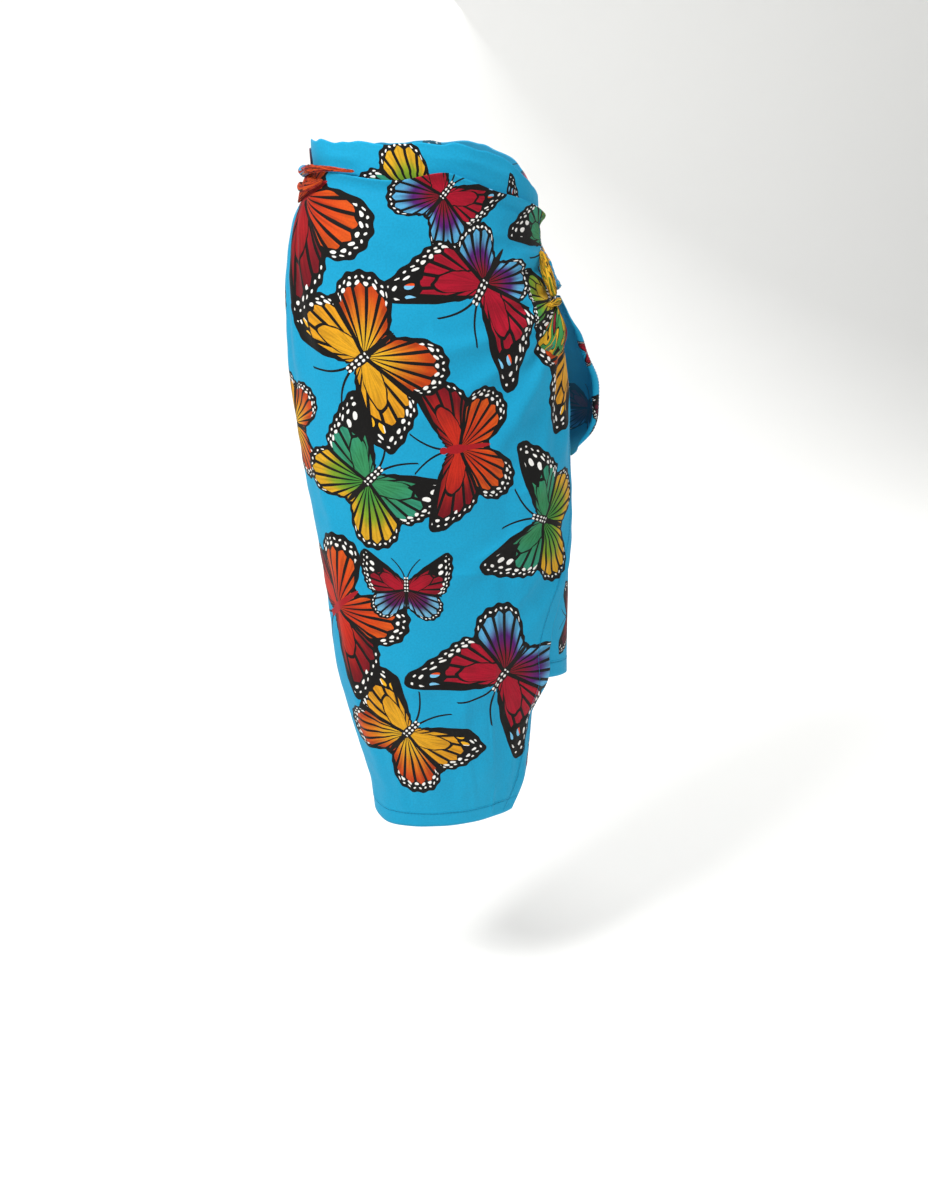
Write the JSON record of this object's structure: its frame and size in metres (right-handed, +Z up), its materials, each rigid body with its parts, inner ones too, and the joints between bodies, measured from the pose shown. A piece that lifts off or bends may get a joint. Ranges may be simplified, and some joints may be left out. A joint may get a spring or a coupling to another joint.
{
  "type": "wrapped sarong",
  "caption": "Worn, hollow form of a printed cloth sarong wound round the hips over itself, gathered at the right hip and knotted at the left, open at waist and hem",
  "frame": {"origin": "the middle of the waist at the height of the tie, where the body holds the cloth up", "axes": "+Z up, the front faces -Y, the left hip with the knot is at +X"},
  "size_m": [0.3959, 0.2437, 0.845],
  "materials": {
    "under_wrap": "printed plain-weave cloth, turquoise ground",
    "front_wrap": "printed plain-weave cloth, turquoise ground",
    "tail_panel": "printed plain-weave cloth, turquoise ground",
    "knot_swag": "printed plain-weave cloth, turquoise ground",
    "back_tie": "the same cloth twisted into a roll, dark red print outside",
    "hip_strand": "the same cloth gathered into a roll, dark red print outside",
    "knot_end": "the same cloth rolled into a knot, yellow print outside",
    "knot_band": "the same cloth, the turn of the knot round itself"
  },
  "bodies": {
    "root": {"under_wrap": "under_wrap", "front_wrap": "front_wrap", "tail_panel": "tail_panel", "knot_swag": "knot_swag", "back_tie": "back_tie", "hip_strand": "hip_strand", "knot_end": "knot_end", "knot_band": "knot_band"}
  },
  "joints": []
}
